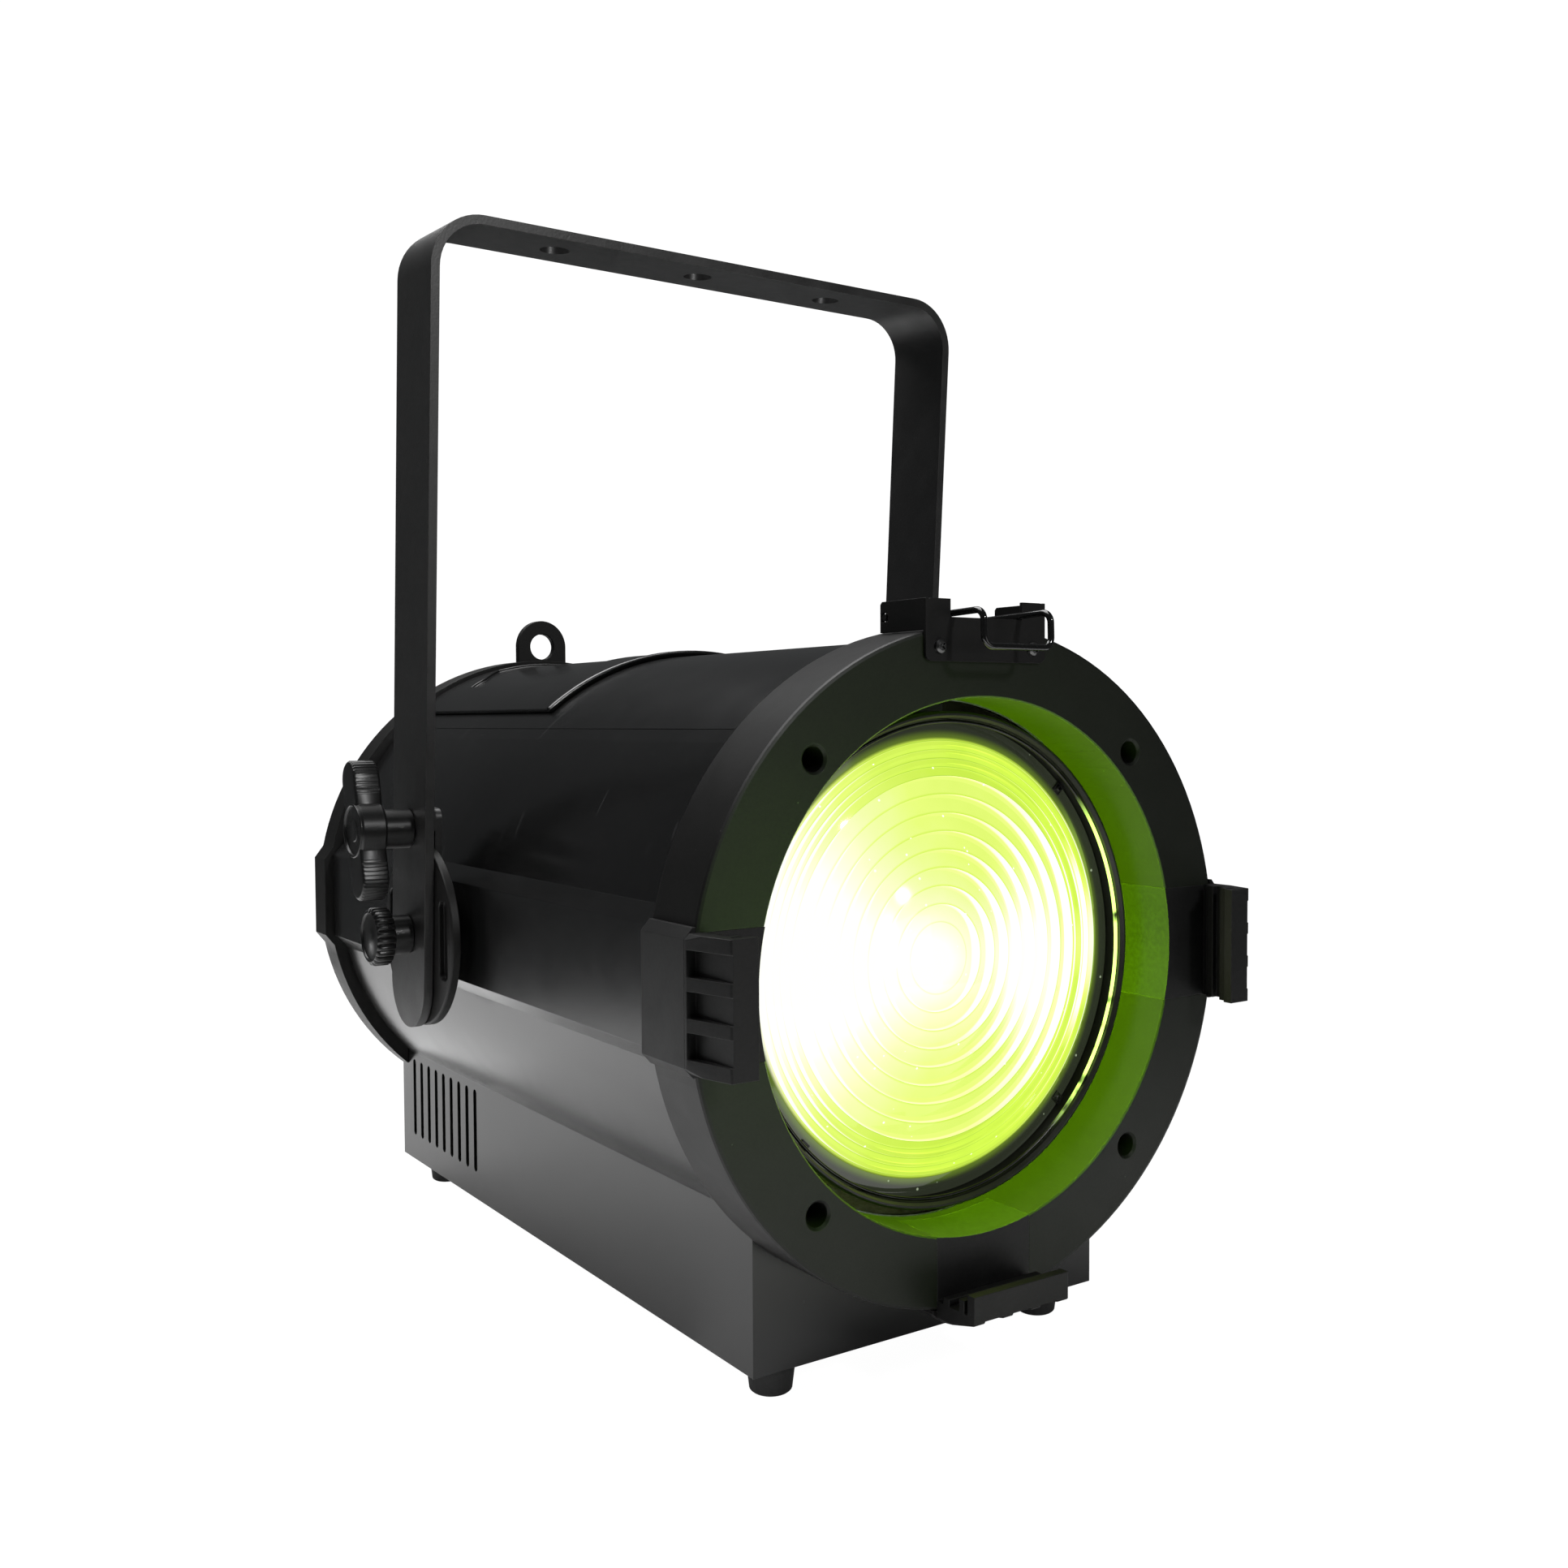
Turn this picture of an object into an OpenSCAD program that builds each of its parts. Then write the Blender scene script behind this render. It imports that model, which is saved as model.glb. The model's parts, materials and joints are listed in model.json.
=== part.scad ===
// LED Fresnel spotlight with a hanging yoke, three accessory clips and a motor-driven lens.
// Millimetres. +Z is up, the beam leaves towards -Y, X = 0 is the plane of symmetry.
// Origin: on the floor under the feet, midway between the foremost and the rearmost face.
// The modules draw in the optical frame, whose origin is the centre of the front ring's face.

/* [Front ring] */
// Outer radius of the front ring
ring_r = 128; // [127:0.5:129]
// Radius of the opening in the front ring
bore_r = 101; // [100.5:0.5:102]
// Depth of the front ring along the beam
ring_depth = 29; // [28:0.5:29]
// Radius of the circle that the four screw wells lie on
well_circle_r = 111; // [110:0.5:112]

/* [Casing] */
// Outer radius of the tube
tube_r = 123; // [122.5:0.1:123.5]
// Height of the tube's axis above the lens axis
tube_rise = 1; // [0:0.5:1]
// Sheet thickness of the casing
sheet = 1.5; // [1.2:0.1:1.5]
// Half width across the side flats
flat_x = 126; // [125:0.5:126.5]
// Half width of the base box
box_half = 85.4; // [84:0.2:88]
// Underside of the base box below the lens axis
box_drop = 146.7; // [146:0.1:148]
// Rear face of the base box behind the ring's face
box_rear = 387; // [386:0.5:387]
// Where the tube's sheet ends behind the ring's face
tube_rear = 376.5; // [375:0.5:377]
// Rearmost face of the rear cover
rear_face = 396; // [395:0.5:398]
// Height of the feet
foot_h = 13.3; // [12:0.1:16]

/* [Vents] */
// Number of ventilation slots on each side
vent_count = 9; // [5:1:9]
// Distance from slot to slot
vent_pitch = 10.5; // [8:0.5:10.5]

/* [Yoke] */
// Width of the flat bar
bar_w = 40; // [36:1:44]
// Thickness of the flat bar
bar_t = 4; // [3:0.5:4]
// Half width across the outside of the arms
yoke_half = 140.8; // [140.8:0.1:142]
// Top face above the pivot
yoke_top = 311.2; // [300:0.2:330]
// Forward lean of the yoke in the stored position, in degrees
yoke_lean = 3.8; // [0:0.1:8]
// Diameter of the three hanging holes
hang_hole_d = 13.5; // [10:0.5:16]
// Distance between the hanging holes
hang_pitch = 75; // [60:1:80]

/* [Zoom] */
// Travel of the lens carriage
zoom_travel = 110; // [80:5:110]
// Clear radius of the Fresnel lens
lens_r = 86; // [84:0.5:87]

/* [Hidden] */
$fn = 96;
eps = 0.01;

axis_z = box_drop + foot_h;
clip_reach = 21;
clip_half = 23;
clip_r = 130.3;
comb_front_r = 125.2;
slot_floor = 122;
rib_start = -1.5;
clip_angles = [180, 0, 270];
face_y = -(rear_face - clip_reach) / 2;
well_angles = [45.6, 134.4, 226.2, 313.8];

// Tilt axis, and the friction disc on it
pivot_y = 225.3;
pivot_z = -1.5;
lock_up = 47.6;
disc_r = 41;
disc_out = yoke_half - bar_t - 0.4;
disc_t = 4;
stud_r = 4;
neck_r = 8.7;

case_front = ring_depth + 0.2;
inner_r = tube_r - sheet;
seam_angle = 44;
cover_front = tube_rear + 2.5;
cover_back = rear_face - 5.5;
cover_plate = 3;

rod_r = 109;
rod_d = 6;
rod_angles = [210, 330];
screw_r = 106;
ear_front = 36;
ear_t = 10;
holder_front = 18.5;
holder_back = ear_front + ear_t;
bulkhead_y = 205;

// Zone radii of the lens: a dome, then even zones, then narrowing outer zones
zone_pitch = 7.15;
dome_r = 21;
zone_r = concat([0], [for (i = [0 : 7]) dome_r + i * zone_pitch], [76, 80, 83, lens_r]);
lens_base_y = 27.6;
lens_back_y = 30.6;

// Wire bail: its hinge is [y, z]
bail_x = 16.3;
bail_lean = 1.7;
bail_hinge = [22.5, 130.9];
bail_wire_r = 1.25;

// Places on the rear plate
fan_half = 60;
fan_y0 = 362;
fan_y1 = cover_back - cover_plate;
fan_screw = 52.5;
grille_t = 1.6;
rear_screw_angles = [32, 148, 212, 328];
rear_screw_r = 117.5;
connector_z = -84;
power_x = [-60, -31];
dmx_x = [4, 33];
fuse_x = 60;
menu_z = 73;
panel_z = 90;
button_x = [-31.5, -10.5, 10.5, 31.5];

metal = [0.20, 0.20, 0.20];
black = [0.09, 0.09, 0.09];
steel = [0.70, 0.70, 0.72];

// ---- helpers -----------------------------------------------------------------------------

// From the optical frame to the part's frame
module place() translate([0, face_y, axis_z]) children();

// Extrudes an outline drawn in X and Z from y0 to y1
module along_y(y0, y1) translate([0, y1, 0]) rotate([90, 0, 0]) linear_extrude(y1 - y0) children();

// Extrudes an outline drawn in Y and Z from x0 to x1
module along_x(x0, x1) translate([x0, 0, 0]) rotate([90, 0, 90]) linear_extrude(x1 - x0) children();

// Turns an outline of [radius, y] about the lens axis
module revolve_y() rotate([-90, 0, 0]) rotate_extrude() children();

// Turns an outline of [radius, x] about the X axis
module revolve_x() rotate([90, 0, 90]) rotate_extrude() children();

// Straight rod along Y or X
module rod_y(r, y0, y1) along_y(y0, y1) circle(r);
module rod_x(r, x0, x1) along_x(x0, x1) circle(r);

// Copies at a radius and at each of the given angles about the lens axis
module ring_of(angles, r) for (a = angles) rotate([0, -a, 0]) translate([r, 0, 0]) children();

// Left and right copies of what is drawn on the right
module both_sides() {
    children();
    mirror([1, 0, 0]) children();
}

// A side's copy of what is drawn on the right: side is 1 or -1
module on_side(side) mirror([side < 0 ? 1 : 0, 0, 0]) children();

// Rectangle with rounded corners, centred
module rounded_box(size, r) {
    square([size.x - 2 * r, size.y], center = true);
    square([size.x, size.y - 2 * r], center = true);
    for (x = [-1, 1], z = [-1, 1])
        translate([x * (size.x / 2 - r), z * (size.y / 2 - r)]) circle(r);
}

// Sector of the casing's outline, half_angle either side of straight up
module top_sector(half_angle) {
    reach = 200;
    translate([0, tube_rise])
        polygon([[0, 0], [-reach * tan(half_angle), reach], [reach * tan(half_angle), reach]]);
}

// ---- casing ------------------------------------------------------------------------------

// Outline of the tube, the side flats and the base box, drawn in by inset
module casing_outline(inset) {
    flat_half = 20.5;
    flat_root = 27;
    translate([0, tube_rise]) circle(tube_r - inset);
    both_sides() polygon([[0, -flat_root - 10], [flat_x - 6 - inset, -flat_root],
        [flat_x - inset, -flat_half], [flat_x - inset, flat_half + 2],
        [flat_x - 6 - inset, flat_root + 2], [0, flat_root + 12]]);
    translate([-box_half + inset, -box_drop]) square([2 * (box_half - inset), box_drop - 50]);
}

// Outline of the base box below the tube
module box_outline(inset) {
    translate([-box_half + inset, -box_drop]) square([2 * (box_half - inset), box_drop - 87]);
}

// Upright slots with round ends through both sides of the base box
module vent_slots() {
    slot_half = 2;
    slot_top = -91.4;
    slot_bottom = -133;
    first_y = 285.6;
    along_x(-box_half - 5, box_half + 5)
        for (i = [0 : vent_count - 1]) translate([first_y + i * vent_pitch, 0]) {
            translate([-slot_half, slot_bottom + slot_half])
                square([2 * slot_half, slot_top - slot_bottom - 2 * slot_half]);
            translate([0, slot_bottom + slot_half]) circle(slot_half);
            translate([0, slot_top - slot_half]) circle(slot_half);
        }
}

// Holes for the pivot studs
module pivot_holes(r) translate([0, pivot_y, pivot_z]) rod_x(r, -150, 150);

module lower_casing() color(metal) place() difference() {
    union() {
        along_y(case_front, tube_rear) difference() {
            casing_outline(0);
            casing_outline(sheet);
            top_sector(seam_angle);
        }
        along_y(tube_rear - eps, box_rear) difference() {
            box_outline(0);
            box_outline(sheet);
        }
        along_y(case_front, case_front + sheet) difference() {
            box_outline(0);
            circle(inner_r);
        }
        along_y(box_rear - sheet, box_rear) difference() {
            box_outline(0);
            circle(inner_r);
        }
    }
    vent_slots();
    pivot_holes(4.2);
}

module top_cover() color(metal) place() along_y(case_front, tube_rear) difference() {
    intersection() {
        translate([0, tube_rise]) circle(tube_r);
        top_sector(seam_angle - 0.15);
    }
    translate([0, tube_rise]) circle(tube_r - sheet);
}

// Shallow tray in the hood, seen from above
module hood_tray() {
    half = 58;
    polygon([[-half, 249], [half, 249], [half, 349], [46, 356], [32, 372],
        [-32, 372], [-46, 356], [-half, 349]]);
}

module rear_hood() color(metal) place() {
    hood_front = 208;
    hood_r = 125.1;
    lip_r = 126;
    half_angle = 38.8;
    difference() {
        intersection() {
            translate([0, 0, tube_rise]) revolve_y() polygon([[tube_r + 0.05, hood_front + 1],
                [lip_r - 0.8, hood_front], [lip_r, hood_front + 1], [lip_r, hood_front + 3.2],
                [hood_r, hood_front + 5], [hood_r, tube_rear], [tube_r + 0.05, tube_rear]]);
            along_y(hood_front - 1, tube_rear + 1) top_sector(half_angle);
        }
        difference() {
            translate([0, 0, 60]) linear_extrude(100) hood_tray();
            translate([0, 0, tube_rise]) rod_y(tube_r + 0.8, hood_front, tube_rear + 1);
        }
    }
}

// Inner floor of the base box
module base_plate() color(metal) place() {
    plate_half = box_half - sheet - 0.1;
    difference() {
        along_y(case_front + sheet + 0.1, box_rear - sheet - 0.1)
            translate([-plate_half, -box_drop]) square([2 * plate_half, sheet]);
        foot_places() translate([0, 0, -box_drop - 1]) cylinder(r = 2.1, h = sheet + 2);
    }
}

// Copies at the four feet
module foot_places() for (x = [-68, 68], y = [44, 368]) translate([x, y, 0]) children();

module feet() color(black) place() foot_places() translate([0, 0, -box_drop - foot_h]) difference() {
    rotate_extrude() polygon([[0, 0], [7, 0], [8.2, 1], [9.6, foot_h - 1.5], [11, foot_h - 1], [11, foot_h],
        [2, foot_h], [2, foot_h + sheet + 1.5], [0, foot_h + sheet + 1.5]]);
    translate([0, 0, -eps]) cylinder(r = 4, h = 4);
}

// ---- front ring and its clips ------------------------------------------------------------

// Room for the clips in the ring's face and rim
module clip_notches() ring_of(clip_angles, 0) {
    translate([90, -1, -clip_half - 0.1]) cube([50, 25, 2 * clip_half + 0.2]);
    translate([122, 0, -clip_half - 0.1]) cube([20, ring_depth + 1, 2 * clip_half + 0.2]);
}

module front_ring() color(metal) place() {
    face = 4;
    wall = 3.5;
    difference() {
        union() {
            revolve_y() polygon([[bore_r, 0.6], [bore_r + 0.6, 0], [ring_r - 1.4, 0], [ring_r - 0.4, 0.4],
                [ring_r, 1.4], [ring_r, ring_depth], [ring_r - wall, ring_depth], [ring_r - wall, face],
                [bore_r + wall, face], [bore_r + wall, ring_depth], [bore_r, ring_depth]]);
            ring_of(well_angles, well_circle_r) rod_y(7.5, face - 1, ring_depth);
            ring_of([for (a = clip_angles, s = [-1, 1]) a + s * 12.4], (ring_r + bore_r) / 2)
                translate([-11, face - 1, -2]) cube([22, ring_depth - face + 1, 4]);
            intersection() {
                along_y(face - 1, ring_depth) translate([-29, 104]) square([58, 20]);
                revolve_y() polygon([[bore_r, 0], [ring_r, 0], [ring_r, 12], [bore_r, 12]]);
            }
        }
        clip_notches();
        ring_of(well_angles, well_circle_r) {
            rod_y(4.5, -1, 22);
            rod_y(2.2, 20, ring_depth + 1);
            translate([0, -eps, 0]) revolve_y() polygon([[0, 0], [5.5, 0], [4.5, 1], [0, 1]]);
        }
        for (x = [-22.7, 22.7]) translate([x, 0, 119.4]) rod_y(1.45, -1, 10);
    }
}

// Section of a clip in front of the ring, as [radius, y]: three slots for frames of different
// thickness, and an outer side that leans in towards the front
module clip_comb() polygon([[slot_floor, 1], [slot_floor, -3.6], [119.6, -3.6], [119.6, -7], [slot_floor, -7],
    [slot_floor, -12.4], [117.3, -12.4], [117.3, -15.3], [slot_floor, -15.3], [slot_floor, -17], [114.5, -17],
    [114.5, -clip_reach], [comb_front_r - 0.5, -clip_reach], [comb_front_r, -clip_reach + 0.5],
    [clip_r, rib_start], [clip_r, 1]]);

// Section of the three pockets between a clip's ribs, as [radius, y]
module clip_pocket() polygon([[126.6, rib_start], [comb_front_r - 1, -clip_reach - 1],
    [clip_r, -clip_reach - 1], [clip_r + 1, rib_start]]);

// Outline of a clip's base across the beam, as [radius, height], with bevelled outer corners
module clip_outline() difference() {
    polygon([[95, -clip_half], [124, -clip_half], [124, -25], [127, -25], [clip_r, -21.3],
        [clip_r, 21.3], [127, 25], [124, 25], [124, clip_half], [95, clip_half]]);
    circle(bore_r);
    difference() {
        circle(ring_r + 0.05);
        translate([0, -clip_half]) square([150, 2 * clip_half]);
    }
}

// One accessory clip, drawn for the ring's right side
module clip() {
    comb_half = 23.2;
    pocket_w = 9;
    pocket_pitch = 13.6;
    difference() {
        union() {
            intersection() {
                translate([0, 0, -comb_half]) linear_extrude(2 * comb_half) clip_comb();
                along_y(-clip_reach - 1, 2) polygon([[95, -comb_half], [clip_r - 2, -comb_half],
                    [clip_r, -21.3], [clip_r, 21.3], [clip_r - 2, comb_half], [95, comb_half]]);
            }
            difference() {
                along_y(0, ring_depth) clip_outline();
                translate([90, 23.9, -30]) cube([32.2, 20, 60]);
            }
        }
        for (i = [-1, 0, 1]) translate([0, 0, i * pocket_pitch - pocket_w / 2])
            linear_extrude(pocket_w) clip_pocket();
    }
}

module clip_left() color(black) place() rotate([0, -180, 0]) clip();
module clip_right() color(black) place() clip();
module clip_bottom() color(black) place() rotate([0, -270, 0]) clip();

module retainer_bracket() color(black) place() {
    half = 29.3;
    tower = 11.7;
    plate = 1.5;
    difference() {
        union() {
            along_y(-plate, 0) difference() {
                translate([0, 125.4]) rounded_box([2 * half, 22.8], 3);
                translate([-half + tower, 130.2]) square([2 * (half - tower), 10]);
            }
            both_sides() along_x(half - plate, half) polygon([[-plate, 125.2], [25.3, 125.2], [25.3, 135.8],
                [24.3, 136.8], [-plate, 136.8]]);
        }
        translate([-40, bail_hinge.x - 1.75, bail_hinge.y - 1.75]) cube([80, 3.5, 3.5]);
        for (x = [-22.7, 22.7]) translate([x, 0, 119.4]) rod_y(1.6, -3, 1);
        rod_y(ring_r + 0.02, 0, 40);
    }
}

// Pan-head screw along Y with a cross recess, head towards -Y
module pan_screw(head_r, head_h, shank_r, length) {
    recess = head_r * 0.55;
    difference() {
        union() {
            revolve_y() polygon([[0, -head_h], [head_r * 0.6, -head_h], [head_r * 0.92, -head_h * 0.6],
                [head_r, 0], [0, 0]]);
            rod_y(shank_r, -eps, length);
        }
        for (a = [45, 135]) rotate([0, a, 0]) translate([-recess, -head_h - 1, -0.35])
            cube([2 * recess, 1 + head_h * 0.6, 0.7]);
    }
}

module bracket_screws() color(steel) place() for (x = [-22.7, 22.7])
    translate([x, -1.5, 119.4]) pan_screw(2.75, 1.6, 1.4, 9);

module ring_screws() color(steel) place() ring_of(well_angles, well_circle_r)
    translate([0, 22, 0]) rotate([0, 20, 0]) pan_screw(3.8, 2.6, 2.1, 13);

// ---- inside the tube ---------------------------------------------------------------------

module front_bulkhead() color(steel) place() difference() {
    rod_y(inner_r - 1.3, case_front, case_front + 2);
    rod_y(bore_r - 0.5, 0, 50);
    ring_of(well_angles, well_circle_r) rod_y(2.2, 0, 50);
    ring_of(rod_angles, rod_r) rod_y(rod_d / 2, 0, 50);
    ring_of([90], screw_r) rod_y(3.3, 0, 50);
}

module engine_bulkhead() color(steel) place() difference() {
    rod_y(inner_r - 1.3, bulkhead_y, bulkhead_y + 3);
    rod_y(40, 0, 300);
    ring_of(rod_angles, rod_r) rod_y(rod_d / 2, 0, 300);
    ring_of([90], screw_r) rod_y(11, 0, 300);
    for (x = [-90, 90]) translate([x, 0, 0]) rod_y(12, 0, 300);
}

module guide_rods() color(steel) place() ring_of(rod_angles, rod_r)
    rod_y(rod_d / 2, case_front, bulkhead_y + 4);

module zoom_motor() color(black) place() translate([0, bulkhead_y + 3, screw_r]) difference() {
    union() {
        along_y(0, 31) rounded_box([28, 28], 2);
        rod_y(10.8, -3, 0);
    }
    rod_y(3.2, -4, 28);
}

module led_board() color(steel) place() difference() {
    along_y(bulkhead_y - 1.6, bulkhead_y + 6.9) rounded_box([56, 56], 4);
    rod_y(18, 0, bulkhead_y - 0.1);
}

module led_emitter() color([0.8, 0.95, 0.3]) place() rod_y(17.9, bulkhead_y - 1.9, bulkhead_y - 0.1);

module reflector_cup() color(steel) place() {
    cup_front = 166;
    cup_back = bulkhead_y - 2;
    revolve_y() polygon([[20, cup_back], [23, cup_back], [30, 190], [36, 178], [40, cup_front + 2],
        [43, cup_front + 2], [43, cup_front], [38.6, cup_front], [34.4, 178], [28.4, 190]]);
}

module heat_sink() color([0.55, 0.55, 0.56]) place() {
    half = 64;
    base_y = bulkhead_y + 7;
    fin_end = 340;
    fin_pitch = 8;
    along_y(base_y, base_y + 9) square(2 * half, center = true);
    for (x = [-half : fin_pitch : half - 1.6]) along_y(base_y + 8, fin_end)
        translate([x, -half]) square([1.8, 2 * half]);
}

// Copies at the four screws of the fan
module fan_corners() for (x = [-fan_screw, fan_screw], z = [-fan_screw, fan_screw])
    translate([x, 0, z]) children();

// Axial fan on the rear cover's inside
module fan_frame() color(black) place() difference() {
    union() {
        difference() {
            along_y(fan_y0, fan_y1) rounded_box([2 * fan_half, 2 * fan_half], 6);
            rod_y(56.5, fan_y0 - 1, fan_y1 + 1);
        }
        rod_y(18, fan_y0, fan_y0 + 3);
        for (a = [45 : 90 : 315]) rotate([0, a, 0]) translate([17, fan_y0, -2]) cube([41, 3, 4]);
    }
    fan_corners() rod_y(2.2, fan_y0 - 1, fan_y1 + 1);
}

module fan_rotor() color(black) place() {
    hub_r = 19;
    rod_y(hub_r, fan_y0 + 3.8, fan_y1 - 2);
    for (a = [0 : 360 / 7 : 359]) rotate([0, a, 0]) translate([hub_r - 1, fan_y0 + 13, 0]) rotate([32, 0, 0])
        translate([0, -11, -1]) cube([35, 21, 2]);
}

// ---- rear cover and what it carries ------------------------------------------------------

// Outline of the rear cover: a disc with a flat bulge on each side, drawn in by inset
module rear_outline(inset) {
    side_x = 130;
    circle(ring_r - inset);
    both_sides() polygon([[0, -32], [side_x - 6 - inset, -28], [side_x - inset, -20.5],
        [side_x - inset, 20], [side_x - 6 - inset, 28], [0, 32]]);
}

module rear_cover() color(metal) place() difference() {
    union() {
        along_y(cover_front, rear_face) difference() {
            rear_outline(0);
            rear_outline(3.5);
        }
        along_y(cover_back - cover_plate, cover_back) rear_outline(2);
        along_y(tube_rear - 6, cover_front + 2) difference() {
            translate([0, tube_rise]) circle(inner_r - 0.3);
            translate([0, tube_rise]) circle(inner_r - 2.8);
        }
        along_y(cover_front, cover_front + 2) difference() {
            rear_outline(1);
            translate([0, tube_rise]) circle(inner_r - 2.8);
        }
    }
    along_y(tube_rear - 10, box_rear + 0.2)
        translate([-box_half - 0.2, -box_drop]) square([2 * box_half + 0.4, 60]);
    rod_y(56.5, 300, 400);
    fan_corners() rod_y(2.2, 300, 400);
    for (x = concat(power_x, dmx_x)) translate([x, 0, connector_z]) rod_y(12, 300, 400);
    translate([fuse_x, 0, connector_z + 8]) rod_y(7.6, 300, 400);
    translate([dmx_x[1] - 3.4, 300, connector_z + 8]) cube([6.8, 100, 5.6]);
    for (x = button_x) translate([x, 0, menu_z]) rod_y(3.6, 300, 400);
    along_y(300, 400) translate([-32, panel_z - 9]) square([64, 20]);
    translate([-15.2, 382.9, 100]) cube([30.4, 4.2, 40]);
    for (a = rear_screw_angles) rotate([0, -a, 0]) translate([rear_screw_r, 0, 0]) rod_y(1.8, 300, 400);
}

module rear_screws() color(steel) place() {
    ring_of(rear_screw_angles, rear_screw_r) translate([0, cover_back, 0]) mirror([0, 1, 0])
        pan_screw(3.2, 1.9, 1.7, 9);
    fan_corners() translate([0, cover_back + grille_t, 0]) mirror([0, 1, 0]) pan_screw(3.4, 1.8, 2, 20);
}

module fan_grille() color(steel) place() along_y(cover_back, cover_back + grille_t) difference() {
    wire = 1.6;
    union() {
        for (r = [10 : 7.6 : 56]) difference() {
            circle(r + wire / 2);
            circle(r - wire / 2);
        }
        for (a = [45, 135]) rotate(a) square([148, wire], center = true);
        for (x = [-fan_screw, fan_screw], z = [-fan_screw, fan_screw]) translate([x, z]) circle(4.6);
    }
    for (x = [-fan_screw, fan_screw], z = [-fan_screw, fan_screw]) translate([x, z]) circle(2.1);
}

module control_panel() color(black) place() difference() {
    along_y(cover_back, cover_back + 1.5) translate([0, 83]) rounded_box([100, 44], 4);
    for (x = button_x) translate([x, 0, menu_z]) rod_y(3.6, 300, 400);
    along_y(300, 400) translate([0, panel_z + 1]) square([64, 20], center = true);
}

module display_window() color([0.1, 0.2, 0.25]) place() {
    along_y(cover_back - cover_plate, cover_back + 1)
        translate([0, panel_z + 1]) square([63.6, 19.6], center = true);
}

module control_board() color([0.05, 0.3, 0.15]) place() difference() {
    along_y(cover_back - cover_plate - 7, cover_back - cover_plate - 5.4)
        translate([0, 84]) rounded_box([96, 46], 2);
    translate([-48, 300, 50]) cube([96, 100, 12]);
}

// Menu button with a collar behind the plate
module menu_button(x) color([0.25, 0.25, 0.26]) place() translate([x, cover_back, menu_z]) {
    cap_r = 3.3;
    collar_r = 4.6;
    collar_y = -cover_plate - 0.3;
    cap_y = 3.4;
    revolve_y() polygon([[0, collar_y - 1.5], [collar_r, collar_y - 1.5], [collar_r, collar_y],
        [cap_r, collar_y], [cap_r, cap_y - 0.6], [cap_r - 0.6, cap_y], [0, cap_y]]);
}

module button_1() menu_button(button_x[0]);
module button_2() menu_button(button_x[1]);
module button_3() menu_button(button_x[2]);
module button_4() menu_button(button_x[3]);

// Square-flanged panel connector with a round body
module panel_connector(x, flange_h) translate([x, 0, connector_z]) difference() {
    union() {
        along_y(cover_back, cover_back + 2.2) rounded_box([26, flange_h], 2);
        rod_y(11.8, cover_back - 26, cover_back + 3.6);
    }
    rod_y(10, cover_back - 14, cover_back + 5);
    for (s = [-1, 1]) translate([s * 9.8, 0, -s * 12]) rod_y(1.6, cover_back - 1, cover_back + 5);
}

// Twist-lock mains connector: three blades around a core
module mains_connector(x) {
    panel_connector(x, 31);
    translate([x, 0, connector_z]) {
        rod_y(5, cover_back - 15, cover_back - 2);
        for (a = [90, 210, 330]) rotate([0, -a, 0]) translate([4.9, cover_back - 15, -1]) cube([2, 12, 2]);
    }
}

module power_inlet() color([0.1, 0.25, 0.6]) place() mains_connector(power_x[0]);
module power_outlet() color([0.75, 0.75, 0.75]) place() mains_connector(power_x[1]);

// Male data connector: three pins in a shell
module dmx_input() color(black) place() {
    panel_connector(dmx_x[0], 31);
    for (a = [90, 210, 330]) translate([dmx_x[0], 0, connector_z]) rotate([0, -a, 0])
        translate([3.8, 0, 0]) rod_y(1.1, cover_back - 15, cover_back - 2);
}

// Female data connector: a face with three sockets and a slot for the latch
module dmx_output() color(black) place() {
    difference() {
        union() {
            panel_connector(dmx_x[1], 31);
            translate([dmx_x[1], 0, connector_z]) rod_y(7.4, cover_back - 15, cover_back + 2.6);
        }
        for (a = [90, 210, 330]) translate([dmx_x[1], 0, connector_z]) rotate([0, -a, 0])
            translate([3.8, 0, 0]) rod_y(1.3, cover_back - 12, cover_back + 4);
        translate([dmx_x[1] - 3.4, cover_back - 7, connector_z + 8]) cube([6.8, 20, 5.6]);
    }
}

module dmx_latch() color(steel) place() translate([dmx_x[1] - 3, cover_back - 4.6, connector_z + 10.2])
    cube([6, 9.2, 3]);

module fuse_holder() color(black) place() translate([fuse_x, cover_back, connector_z + 8]) {
    cap_y = 4.5;
    rod_y(7.5, -30, 0);
    difference() {
        revolve_y() polygon([[0, 0], [9, 0], [9, 2], [7, cap_y], [0, cap_y]]);
        translate([-4, cap_y - 1.5, -0.6]) cube([8, 4, 1.2]);
    }
}

module power_supply() color(steel) place() {
    along_y(50, 195) translate([-50, -box_drop + sheet]) square([100, 36]);
}

module led_driver() color([0.05, 0.3, 0.15]) place() {
    board_z = -box_drop + sheet + 6;
    along_y(215, 355) translate([-50, board_z]) square([100, 1.6]);
    for (x = [-40, 40], y = [220, 350]) translate([x, y, -box_drop + sheet]) cylinder(r = 3, h = 6.2);
    for (y = [232, 262, 292]) translate([-28, y, board_z + 1.5]) cylinder(r = 9, h = 22);
    translate([5, 232, board_z + 1.5]) cube([32, 60, 18]);
}

module safety_eyelet() color(metal) place() {
    eye_z = 136.2;
    along_y(383, 387) difference() {
        union() {
            translate([0, eye_z]) circle(15);
            translate([-15, 118]) square([30, eye_z - 118]);
        }
        translate([0, eye_z]) circle(7.25);
    }
}

// ---- tilt hardware -----------------------------------------------------------------------

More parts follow.
